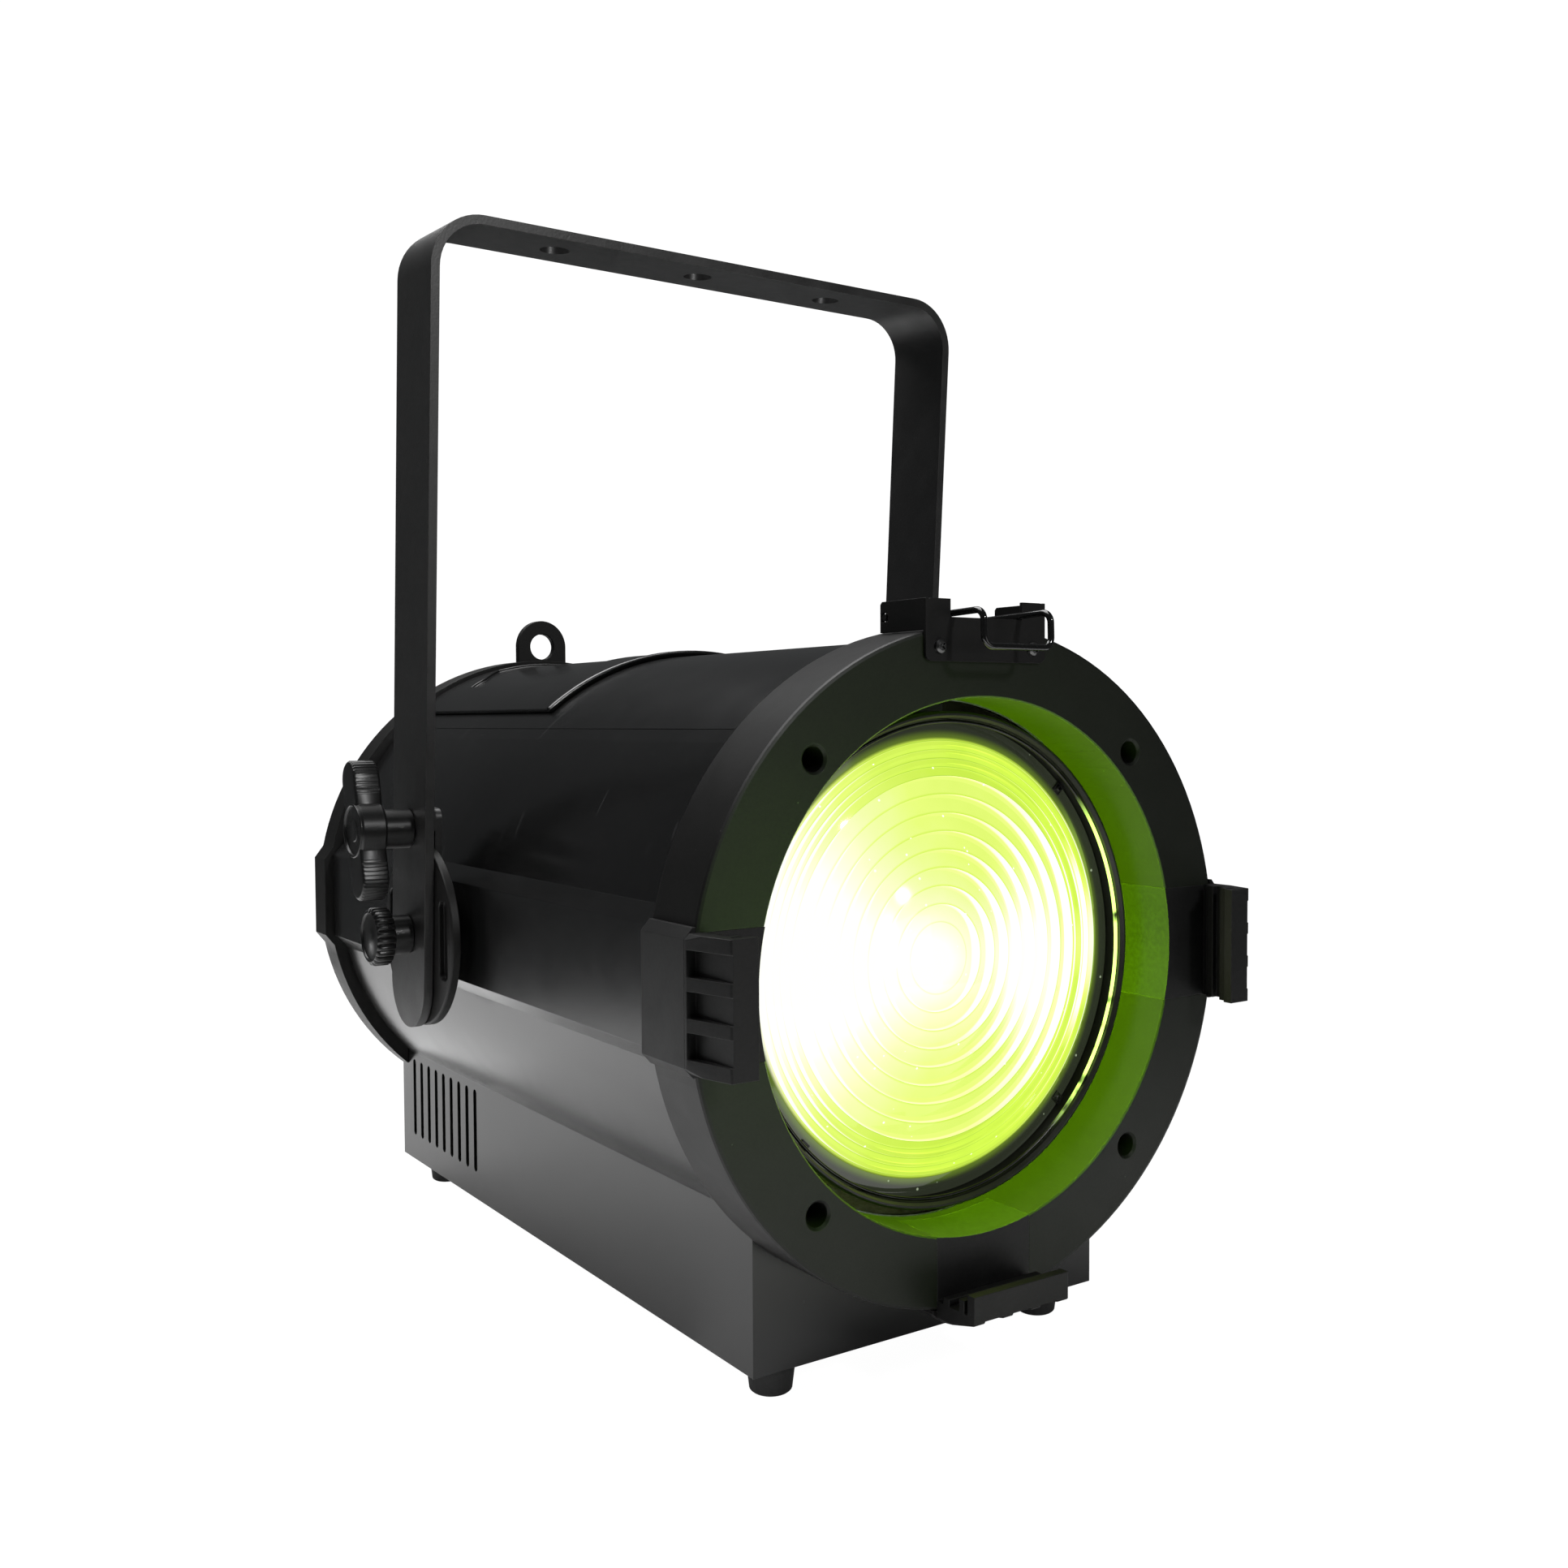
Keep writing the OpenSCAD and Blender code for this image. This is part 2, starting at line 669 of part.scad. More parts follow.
// Friction disc on the casing's side, with a recess in front of and behind the pivot
module tilt_disc() translate([0, pivot_y, pivot_z]) difference() {
    revolve_x() polygon([[0, flat_x], [24, flat_x], [24, disc_out - disc_t], [disc_r, disc_out - disc_t],
        [disc_r, disc_out - 0.5], [disc_r - 0.5, disc_out], [0, disc_out]]);
    rod_x(stud_r + 0.02, 100, 160);
    for (a = [-90, 90]) rotate([a, 0, 0]) along_x(disc_out - 2.5, disc_out + 1)
        translate([0, 30.5]) rounded_box([34, 9], 3);
}

module tilt_disc_left() color(black) place() on_side(-1) tilt_disc();
module tilt_disc_right() color(black) place() tilt_disc();

module pivot_studs() color(steel) place() both_sides() translate([0, pivot_y, pivot_z]) {
    rod_x(stud_r, 118, yoke_half + 12);
    along_x(115, flat_x - sheet) circle(8, $fn = 6);
}

// What stands on a yoke arm at a height above the pivot, leaning with the yoke
module on_yoke(up)
    translate([0, pivot_y, pivot_z]) rotate([yoke_lean, 0, 0]) translate([0, 0, up]) children();

module yoke_outline(inset) {
    bend = 24;
    r = bend - inset;
    half = yoke_half - inset;
    top = yoke_top - inset;
    translate([-half, -60]) square([2 * half, 60 + top - r]);
    translate([-half + r, 0]) square([2 * (half - r), top]);
    for (s = [-1, 1]) translate([s * (half - r), top - r]) circle(r);
}

module yoke() color(metal) place() on_yoke(0) difference() {
    intersection() {
        along_y(-bar_w / 2, bar_w / 2) difference() {
            yoke_outline(0);
            yoke_outline(bar_t);
        }
        along_x(-200, 200) {
            translate([-bar_w / 2, -22]) square([bar_w, 400]);
            translate([0, -22]) circle(bar_w / 2);
        }
    }
    for (x = [-hang_pitch, 0, hang_pitch]) translate([x, 0, 280]) cylinder(r = hang_hole_d / 2, h = 60);
    rod_x(stud_r + 0.08, -200, 200);
    translate([0, 0, lock_up]) rod_x(stud_r + 0.08, -200, 200);
}

// Claw that a lock knob pulls against the back of the tilt disc's rim
module claw() on_yoke(lock_up) difference() {
    union() {
        along_x(disc_out - disc_t - 3.4, disc_out - disc_t - 0.4) translate([0, -3]) rounded_box([18, 24], 4);
        along_x(disc_out - disc_t - 0.5, yoke_half - bar_t - 0.1) intersection() {
            translate([0, 4]) rounded_box([18, 10], 1);
            difference() {
                translate([-20, -20]) square(40);
                translate([0, -lock_up]) circle(disc_r + 0.5);
            }
        }
    }
    rod_x(stud_r + 0.08, 100, 160);
}

module clamp_claws() color(steel) place() both_sides() claw();

// Wing knob: two ribbed wings on a round hub, and its threaded stud
module lock_knob() on_yoke(lock_up) {
    wing_in = yoke_half + 13.7;
    wing_out = wing_in + 12;
    wing_reach = 31;
    lobe_r = 8;
    wing_lean = -17;
    hub_r = 12.8;
    stud_in = disc_out - disc_t - 5;
    color(black) difference() {
        union() {
            revolve_x() polygon([[stud_r, yoke_half + 0.05], [neck_r, yoke_half + 0.05],
                [neck_r, wing_in], [hub_r, wing_in + 0.5], [hub_r, wing_out - 0.6],
                [hub_r - 0.6, wing_out], [stud_r, wing_out]]);
            rotate([wing_lean, 0, 0]) along_x(wing_in, wing_out) difference() {
                union() for (s = [-1, 1]) {
                    translate([0, s * (wing_reach - lobe_r)]) circle(lobe_r);
                    translate([-lobe_r, s > 0 ? 0 : lobe_r - wing_reach])
                        square([2 * lobe_r, wing_reach - lobe_r]);
                }
                for (s = [-1, 1], i = [0 : 4])
                    translate([s * (lobe_r + 0.3), s * (14.5 + 2.4 * i)]) circle(1, $fn = 24);
                circle(5);
            }
        }
        rod_x(11.5, wing_out - 1, wing_out + 1);
    }
    color(steel) rod_x(stud_r, stud_in, wing_out - 3);
}

module lock_knob_left() place() on_side(-1) lock_knob();
module lock_knob_right() place() lock_knob();

// Round knob that keeps an arm on its pivot stud
module pivot_knob() color(black) on_yoke(0) {
    body_in = yoke_half + 9.4;
    body_out = yoke_half + 17.8;
    body_r = 13;
    bore = stud_r + 0.05;
    ribs = 18;
    difference() {
        revolve_x() polygon([[bore, yoke_half + 0.05], [neck_r, yoke_half + 0.05], [neck_r, body_in],
            [body_r, body_in], [body_r, body_out - 0.8], [body_r - 0.8, body_out], [0, body_out],
            [0, body_out - 4], [bore, body_out - 4]]);
        for (a = [0 : 360 / ribs : 359]) rotate([a, 0, 0]) translate([0, 0, body_r + 0.5])
            rod_x(1.3, body_in - 1, body_out + 1);
        rod_x(10.5, body_out - 0.8, body_out + 1);
    }
}

module pivot_knob_left() place() on_side(-1) pivot_knob();
module pivot_knob_right() place() pivot_knob();

// ---- lens carriage -----------------------------------------------------------------------

module lens_carriage() color(black) place() difference() {
    holder_r = 96;
    seat_r = 93.4;
    union() {
        revolve_y() polygon([[seat_r, holder_front + 1.5], [seat_r + 1, holder_front],
            [holder_r - 0.8, holder_front], [holder_r, holder_front + 0.8], [holder_r, holder_back],
            [90, holder_back], [90, 31.2], [seat_r, 31.2]]);
        ring_of(rod_angles, 0) translate([92, ear_front, -9]) cube([24, ear_t, 18]);
        ring_of([90], 0) translate([92, ear_front, -10]) cube([22, ear_t, 20]);
    }
    rod_y(90, 0, 100);
    ring_of(rod_angles, rod_r) rod_y(4.5, 0, 100);
    ring_of([90], screw_r) rod_y(4.5, 0, 100);
}

// Depth of the full lens's surface at a radius, below its top
function sag(r) = 0.0042 * r * r;

// Front surface of one zone: it falls by as much as the full lens does across it
function zone_points(i) = let (r0 = zone_r[i], r1 = zone_r[i + 1], fall = min(2.4, sag(r1) - sag(r0)))
    [for (k = [0 : 4]) let (t = k / 4, r = r0 + (r1 - r0) * t)
        [r, lens_base_y - fall * (1 - t * r / r1)]];

module lens() color([0.85, 1, 0.4]) place() revolve_y() polygon(concat(
    [for (i = [0 : len(zone_r) - 2]) each zone_points(i)],
    [[93, lens_base_y], [93, lens_back_y], [0, lens_back_y]]));

module lens_clips() color(black) place() ring_of([45 : 90 : 315], 0) {
    clip_t = 0.7;
    translate([88.8, lens_base_y - clip_t, -2]) cube([4.5, clip_t, 4]);
    translate([91, lens_base_y - clip_t, 0]) rotate([0, 30, 0]) pan_screw(1.4, 0.8, 0.5, 0.1);
}

module guide_bushes() color([0.8, 0.6, 0.25]) place() ring_of(rod_angles, rod_r) difference() {
    rod_y(4.45, ear_front - 1, ear_front + ear_t + 1);
    rod_y(rod_d / 2 + 0.05, 0, 100);
}

module zoom_nut() color([0.8, 0.6, 0.25]) place() ring_of([90], screw_r) difference() {
    union() {
        rod_y(4.45, ear_front - 1, ear_front + ear_t + 3);
        rod_y(7.5, ear_front + ear_t, ear_front + ear_t + 3);
    }
    rod_y(3.05, 0, 100);
}

module lead_screw() color(steel) place() ring_of([90], screw_r) rod_y(3, case_front, bulkhead_y + 28);

// ---- bail --------------------------------------------------------------------------------

// A quarter bend of the wire in the plane of X and Y axes of the children's frame
module wire_bend(r) rotate_extrude(angle = 90) translate([r, 0]) circle(bail_wire_r, $fn = 24);

// Drawn from its hinge: it leans up a little from level
module wire_bail() color(black) place()
    translate([0, bail_hinge.x, bail_hinge.y]) rotate([-bail_lean, 0, 0]) {
        front = -40.5;
        drop = 13.2;
        bend = 4;
        w = bail_wire_r;
        both_sides() {
            rod_x(w, bail_x + bend, 29.6);
            translate([bail_x, 0, 0]) rod_y(w, front + bend, -bend);
            translate([bail_x, front, bend - drop]) cylinder(r = w, h = drop - 2 * bend);
            translate([bail_x + bend, -bend, 0]) rotate([0, 0, 90]) wire_bend(bend);
            translate([bail_x, front + bend, -bend]) rotate([90, 0, -90]) wire_bend(bend);
            translate([bail_x - bend, front, bend - drop]) rotate([-90, 0, 0]) wire_bend(bend);
        }
        translate([0, front, -drop]) rod_x(w, -bail_x + bend, bail_x - bend);
    }

lower_casing();
top_cover();
rear_hood();
base_plate();
feet();
front_ring();
clip_left();
clip_right();
clip_bottom();
retainer_bracket();
bracket_screws();
ring_screws();
front_bulkhead();
engine_bulkhead();
guide_rods();
zoom_motor();
led_board();
led_emitter();
reflector_cup();
heat_sink();
fan_frame();
fan_rotor();
rear_cover();
fan_grille();
rear_screws();
control_panel();
display_window();
control_board();
button_1();
button_2();
button_3();
button_4();
power_inlet();
power_outlet();
dmx_input();
dmx_output();
dmx_latch();
fuse_holder();
power_supply();
led_driver();
safety_eyelet();
tilt_disc_left();
tilt_disc_right();
pivot_studs();
lens_carriage();
lens();
lens_clips();
guide_bushes();
zoom_nut();
lead_screw();
wire_bail();
yoke();
clamp_claws();
lock_knob_left();
lock_knob_right();
pivot_knob_left();
pivot_knob_right();
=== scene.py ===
"""Looks of the LED Fresnel spotlight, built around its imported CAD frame.

Pieces are drawn in millimetres in the optical frame, whose origin is the centre of the front ring's face.
"""
import json
import math

import bmesh
import bpy
from mathutils import Matrix, Vector

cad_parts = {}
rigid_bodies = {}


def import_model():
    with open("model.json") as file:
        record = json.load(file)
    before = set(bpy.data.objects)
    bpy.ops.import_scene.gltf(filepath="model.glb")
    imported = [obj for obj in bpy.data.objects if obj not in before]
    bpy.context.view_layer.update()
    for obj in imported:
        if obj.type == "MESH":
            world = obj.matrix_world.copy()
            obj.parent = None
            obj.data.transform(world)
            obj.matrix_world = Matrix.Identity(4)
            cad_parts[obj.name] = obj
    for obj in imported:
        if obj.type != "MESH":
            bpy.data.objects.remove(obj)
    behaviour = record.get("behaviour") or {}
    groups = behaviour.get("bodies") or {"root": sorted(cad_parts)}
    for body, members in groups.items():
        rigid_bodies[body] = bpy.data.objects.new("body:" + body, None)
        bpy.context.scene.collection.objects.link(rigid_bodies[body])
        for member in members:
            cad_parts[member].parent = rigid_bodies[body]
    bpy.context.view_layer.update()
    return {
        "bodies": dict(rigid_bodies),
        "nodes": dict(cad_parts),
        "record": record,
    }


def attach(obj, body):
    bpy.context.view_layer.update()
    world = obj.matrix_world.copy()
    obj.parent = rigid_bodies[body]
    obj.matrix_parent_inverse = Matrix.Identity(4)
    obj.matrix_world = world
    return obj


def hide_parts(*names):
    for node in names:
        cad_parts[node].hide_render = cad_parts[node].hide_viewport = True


MM = 0.001

# Sizes in millimetres and degrees, as in the CAD source
FACE_Y = -187.5                     # the ring's face in the part's frame
AXIS_Z = 160.0                      # the lens axis above the floor
PIVOT_Y, PIVOT_Z = 225.3, -1.5
YOKE_LEAN = 3.8
YOKE_HALF = 140.8                   # outer face of the yoke's arms
ARM_THICK, DISC_THICK, DISC_GAP = 4.0, 4.0, 0.4
SEAM_ANGLE, TUBE_RISE = 44.0, 1.0
DISC_R, WIDE_STEP = 21.0, 7.15      # the lens's middle zone and the width of the next ones
NARROW_FROM, NARROW_STEP = 71.0, 3.4
ZONES = [0.0] + [DISC_R + WIDE_STEP * i for i in range(8)] + [76.0, 80.0, 83.0, 86.0]
FLANGE_R, LENS_BASE, LENS_BACK = 93.0, 27.6, 30.6

# Sizes that only the visible shapes have
WIRE_R, WIRE_Y = 0.7, 21.2
STRIP_OUTER_R, STRIP_INNER_R = 121.4, 120.6
STRIP_FRONT, STRIP_BACK, STRIP_STEP = 29.4, 372.0, 0.6
CLIP_CUT = -0.05                    # where a clip is divided into its comb and its base
EDGE_WIDTHS = {
    "front_ring": 0.5, "retainer_bracket": 0.3, "yoke": 0.5, "tilt_disc_left": 0.4, "tilt_disc_right": 0.4,
    "safety_eyelet": 0.5, "rear_cover": 0.4, "lower_casing": 0.4, "feet": 0.4, "lens_carriage": 0.3,
    "rear_hood": 0.5}
COMB_EDGE, BASE_EDGE = 0.35, 0.25
EDGE_SEGMENTS, EDGE_ANGLE = 2, 28.0

# Knobs: heights are above the pivot, depths are from the yoke arm's outer face
LOCK_UP = 47.6
STUD_R, NECK_R = 4.0, 8.7
WING_DEPTH, WING_THICK = 13.7, 12.0
WING_LEAN, HUB_R, LOBE_R, LOBE_REACH = -17.0, 12.8, 8.0, 23.0
WING_RIB_PITCH, WING_RIB_DEPTH, WING_RIB_FROM = 1.9, 0.7, 16.5
WING_SEGMENTS, WING_SMOOTHING = 720, 6
KNURL_R, KNURL_RIBS, KNURL_SEGMENTS = 13.0, 24, 576
KNURL_DEPTH, KNURL_END = 9.4, 17.8

# Camera and light
CAMERA_PLACE = (-0.3796, -0.6149, 0.2525)
CAMERA_TURN = (34.09, 2.37, -0.29)  # to the right, downward and about the view
CAMERA_LENS = 34.877
WHITE = 1.06                        # what the camera sees of the background and, mostly, of the floor
FLOOR_R, FLOOR_PLACE, FLOOR_GLOW = 0.66, (-0.03, 0.05, 0.0), 0.93
LIME = (0.38, 1.0, 0.0)
# Glows on the lens: centre, size and gain, first the wide ones and then the source's small reflections
LENS_GLOWS = (
    ((-84.0, 8.0), (54.0, 64.0), 0.62), ((47.0, -6.0), (15.0, 27.0), 0.46),
    ((-12.0, -2.0), (62.0, 27.0), 0.27), ((0.0, 0.0), (15.0, 16.0), 0.16),
    ((-17.6, 25.5), (2.6, 2.6), 0.8), ((-10.4, -2.0), (2.2, 2.6), 0.8),
    ((-25.0, 5.0), (3.5, 11.0), 0.45), ((0.5, -7.0), (0.8, 2.4), 0.4))

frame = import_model()
nodes = frame["nodes"]
record = frame["record"]
body_of_node = {n: b for b, ns in record["behaviour"]["bodies"].items() for n in ns}
slot_of_node = {s["node"]: s["material_slot"] for s in record["subparts"]}


def place(x, y, z):
    """A point of the optical frame, in metres in the part's frame."""
    return Vector((x, y + FACE_Y, z + AXIS_Z)) * MM


# ---- camera, floor and light -------------------------------------------------------------


def add_camera():
    """The camera that takes the photo's view."""
    yaw, pitch, roll = (math.radians(angle) for angle in CAMERA_TURN)
    forward = Vector((math.sin(yaw) * math.cos(pitch), math.cos(yaw) * math.cos(pitch), -math.sin(pitch)))
    level = forward.cross(Vector((0, 0, 1))).normalized()
    upright = level.cross(forward)
    right = math.cos(roll) * level + math.sin(roll) * upright
    up = -math.sin(roll) * level + math.cos(roll) * upright
    pose = Matrix((right, up, -forward)).transposed().to_4x4()
    pose.translation = CAMERA_PLACE
    data = bpy.data.cameras.new("camera")
    data.lens, data.sensor_width = CAMERA_LENS, 36.0
    data.clip_start, data.clip_end = 0.01, 60.0
    camera = bpy.data.objects.new("camera", data)
    camera.matrix_world = pose
    bpy.context.scene.collection.objects.link(camera)
    bpy.context.scene.camera = camera


def add_node(tree, kind, inputs=None, **settings):
    """A shader node with its settings, and its inputs set to numbers or linked to sockets."""
    made = tree.nodes.new(kind)
    for key, value in settings.items():
        setattr(made, key, value)
    for key, value in (inputs or {}).items():
        if isinstance(value, bpy.types.NodeSocket):
            tree.links.new(value, made.inputs[key])
        else:
            made.inputs[key].default_value = value
    return made


def blank_material(name):
    material = bpy.data.materials.new(name)
    material.use_nodes = True
    material.node_tree.nodes.clear()
    return material, material.node_tree


def finish_material(tree, shader):
    out = tree.nodes.new("ShaderNodeOutputMaterial")
    tree.links.new(shader, out.inputs["Surface"])


def math_node(tree, operation, *values, clamp=False):
    """The result of an operation on sockets and numbers."""
    made = tree.nodes.new("ShaderNodeMath")
    made.operation, made.use_clamp = operation, clamp
    for i, value in enumerate(values):
        if isinstance(value, bpy.types.NodeSocket):
            tree.links.new(value, made.inputs[i])
        else:
            made.inputs[i].default_value = value
    return made.outputs[0]


def plus(tree, first, *others):
    for other in others:
        first = math_node(tree, "ADD", first, other)
    return first


def minus(tree, one, two):
    return math_node(tree, "SUBTRACT", one, two)


def times(tree, one, two):
    return math_node(tree, "MULTIPLY", one, two)


def over(tree, one, two):
    return math_node(tree, "DIVIDE", one, two)


def ranged(tree, value, low, high, start, end, **settings):
    """start at low, running to end at high."""
    return add_node(tree, "ShaderNodeMapRange", {"Value": value, "From Min": low, "From Max": high,
                                                 "To Min": start, "To Max": end}, **settings).outputs[0]


def smooth(tree, value, low, high, top=1.0):
    """0 at low, rising softly to top at high."""
    return ranged(tree, value, low, high, 0.0, top, interpolation_type="SMOOTHSTEP")


def mixed(tree, factor, one, two):
    made = add_node(tree, "ShaderNodeMixRGB", {"Fac": factor, "Color1": one, "Color2": two})
    return made.outputs["Color"]


def noise(tree, where, scale, detail, **others):
    made = add_node(tree, "ShaderNodeTexNoise", {"Vector": where, "Scale": scale, "Detail": detail, **others})
    return made.outputs["Fac"]


def coordinates(tree):
    return add_node(tree, "ShaderNodeTexCoord").outputs["Object"]


def add_world():
    """White to the camera, and dim to everything that the lamps light."""
    world = bpy.data.worlds.new("studio")
    world.use_nodes = True
    tree = world.node_tree
    tree.nodes.clear()
    rays = add_node(tree, "ShaderNodeLightPath")
    seen = add_node(tree, "ShaderNodeBackground", {"Color": (1, 1, 1, 1), "Strength": WHITE})
    dim = add_node(tree, "ShaderNodeBackground", {"Color": (0.95, 0.98, 1.0, 1), "Strength": 0.07})
    mix = add_node(tree, "ShaderNodeMixShader", {0: rays.outputs["Is Camera Ray"], 1: dim.outputs[0],
                                                  2: seen.outputs[0]})
    out = tree.nodes.new("ShaderNodeOutputWorld")
    tree.links.new(mix.outputs[0], out.inputs["Surface"])
    bpy.context.scene.world = world


def add_area(name, location, target, size, power, colour=(1, 1, 1)):
    """A rectangular lamp that faces a target."""
    data = bpy.data.lights.new(name, "AREA")
    data.shape, data.size, data.size_y = "RECTANGLE", size[0], size[1]
    data.energy, data.color = power, colour
    lamp = bpy.data.objects.new(name, data)
    lamp.location = location
    lamp.rotation_mode = "QUATERNION"
    lamp.rotation_quaternion = (Vector(target) - Vector(location)).to_track_quat("-Z", "Y")
    bpy.context.scene.collection.objects.link(lamp)
    return lamp


def add_bulb(name, location, power, body, size):
    """A small lime lamp that moves with a body and isn't seen itself."""
    data = bpy.data.lights.new(name, "POINT")
    data.energy, data.color, data.shadow_soft_size = power, LIME, size
    lamp = bpy.data.objects.new(name, data)
    bpy.context.scene.collection.objects.link(lamp)
    lamp.location = location
    lamp.visible_camera = False
    lamp.visible_glossy = False
    lamp.parent = body
    return lamp


def add_floor():
    """A pale floor. The camera sees it almost without the shadow that the reflections show."""
    mesh = bpy.data.meshes.new("studio_floor")
    grid = bmesh.new()
    bmesh.ops.create_circle(grid, cap_ends=True, segments=128, radius=FLOOR_R)
    grid.to_mesh(mesh)
    grid.free()
    floor = bpy.data.objects.new("studio_floor", mesh)
    bpy.context.scene.collection.objects.link(floor)
    material, tree = blank_material("studio_floor")
    tone = add_node(tree, "ShaderNodeValToRGB", {"Fac": noise(tree, coordinates(tree), 3.0, 3.0)})
    tone.color_ramp.elements[0].color = (0.93, 0.93, 0.93, 1)
    tone.color_ramp.elements[1].color = (0.97, 0.97, 0.97, 1)
    matt = add_node(tree, "ShaderNodeBsdfDiffuse", {"Color": tone.outputs["Color"], "Roughness": 0.6})
    bright = add_node(tree, "ShaderNodeEmission", {"Color": (1, 1, 1, 1), "Strength": WHITE})
    seen = add_node(tree, "ShaderNodeMixShader", {0: FLOOR_GLOW, 1: matt.outputs[0], 2: bright.outputs[0]})
    rays = add_node(tree, "ShaderNodeLightPath")
    surface = add_node(tree, "ShaderNodeMixShader", {0: rays.outputs["Is Camera Ray"], 1: matt.outputs[0],
                                                      2: seen.outputs[0]})
    finish_material(tree, surface.outputs[0])
    mesh.materials.append(material)
    floor.location = FLOOR_PLACE
    return floor


def new_collection(name):
    made = bpy.data.collections.new(name)
    bpy.context.scene.collection.children.link(made)
    return made


def add_lights(floor):
    """Soft light from above and from the front, and the lens's light on what stands round its mouth."""
    add_area("overhead_softbox", (-0.25, 0.58, 2.0), (-0.1, 0.35, 0), (2.0, 1.7), 60.0)
    add_area("front_softbox", (0.62, -1.70, 0.10), (0, -0.18, 0.18), (0.8, 0.5), 1.5, (1.0, 0.985, 0.96))
    add_area("key_light", (0.18, -1.75, 1.10), (0, -0.18, 0.27), (0.14, 0.14), 11.0)
    fill = add_area("floor_fill", (-1.3, 0.7, 1.1), (-0.4, 0.2, 0.0), (0.7, 0.7), 20.0)
    fill.visible_glossy = False
    floor_only = new_collection("floor_only")
    floor_only.objects.link(floor)
    fill.light_linking.receiver_collection = floor_only
    glow = add_bulb("lens_glow", place(0, 13, 0), 12.0, frame["bodies"]["carriage"], 0.004)
    spill = add_bulb("lens_spill", place(-55, -95, 14), 1.3, frame["bodies"]["carriage"], 0.06)
    lit = new_collection("lit_by_lens")
    glow.light_linking.receiver_collection = lit
    glow.light_linking.blocker_collection = lit
    ring = new_collection("ring_only")
    spill.light_linking.receiver_collection = ring
    return lit, ring


add_camera()
add_world()
lit_by_lens, ring_only = add_lights(add_floor())
bpy.context.scene.view_settings.view_transform = "Standard"

# ---- materials ---------------------------------------------------------------------------

materials = {}


def surface_material(name, dark, light, rough, grain=900.0, relief=0.02, metallic=0.0, specular=0.5,
                     edge=0.25, wear=0.0, dust=0.0, scratch=0.0, coat=0.0, round_mm=0.35, blotch=9.0):
    """A finish with colour and gloss that vary, a fine relief, softened edges, and wear, dust and scratches.

    relief is in millimetres, grain is how many grains of relief there are in a metre.
    """
    material, tree = blank_material(name)
    where = coordinates(tree)
    large = noise(tree, where, blotch, 5.0, Roughness=0.62)
    smudge = noise(tree, where, blotch * 6.5, 4.0, Distortion=0.6)
    fine = noise(tree, where, grain, 2.0, Roughness=0.55)
    colour = mixed(tree, ranged(tree, large, 0.3, 0.7, 0.0, 1.0), (*dark, 1), (*light, 1))
    speck = ranged(tree, fine, 0.35, 0.75, 0.86, 1.22)
    colour = add_node(tree, "ShaderNodeVectorMath", {0: colour, "Scale": speck}, operation="SCALE").outputs[0]
    bevel = add_node(tree, "ShaderNodeBevel", {"Radius": round_mm * MM}, samples=3)
    if wear:
        geometry = add_node(tree, "ShaderNodeNewGeometry")
        dot = add_node(tree, "ShaderNodeVectorMath", {0: bevel.outputs[0], 1: geometry.outputs["Normal"]},
                       operation="DOT_PRODUCT").outputs["Value"]
        ridge = ranged(tree, dot, 0.985, 0.80, 0.0, wear)
        rubbed = math_node(tree, "MULTIPLY", ridge, smudge, clamp=True)
        colour = mixed(tree, rubbed, colour, (edge, edge, edge, 1))
    if dust:
        cells = add_node(tree, "ShaderNodeTexVoronoi", {"Vector": where, "Scale": 95.0, "Randomness": 1.0})
        dots = ranged(tree, cells.outputs["Distance"], 0.035, 0.02, 0.0, dust)
        colour = mixed(tree, dots, colour, (0.45, 0.45, 0.44, 1))
    if scratch:
        stretch = add_node(tree, "ShaderNodeMapping", {"Vector": where, "Rotation": (0.5, 0.9, 0.3),
                                                        "Scale": (14.0, 230.0, 30.0)})
        marks = ranged(tree, noise(tree, stretch.outputs[0], 1.0, 1.0), 0.735, 0.76, 0.0, scratch)
        colour = mixed(tree, marks, colour, (0.25, 0.25, 0.25, 1))
    gloss = ranged(tree, smudge, 0.3, 0.7, rough[0], rough[1])
    bump = add_node(tree, "ShaderNodeBump", {"Strength": 1.0, "Distance": relief * MM, "Height": fine,
                                              "Normal": bevel.outputs[0]})
    shader = add_node(tree, "ShaderNodeBsdfPrincipled", {
        "Base Color": colour, "Roughness": gloss, "Metallic": metallic, "Specular IOR Level": specular,
        "Coat Weight": coat, "Coat Roughness": 0.18, "Normal": bump.outputs[0]})
    finish_material(tree, shader.outputs[0])
    materials[name] = material


def grey(value, warm=0.0):
    """A grey, or a slightly warm one."""
    return (value * (1 + warm), value, value * (1 - warm))


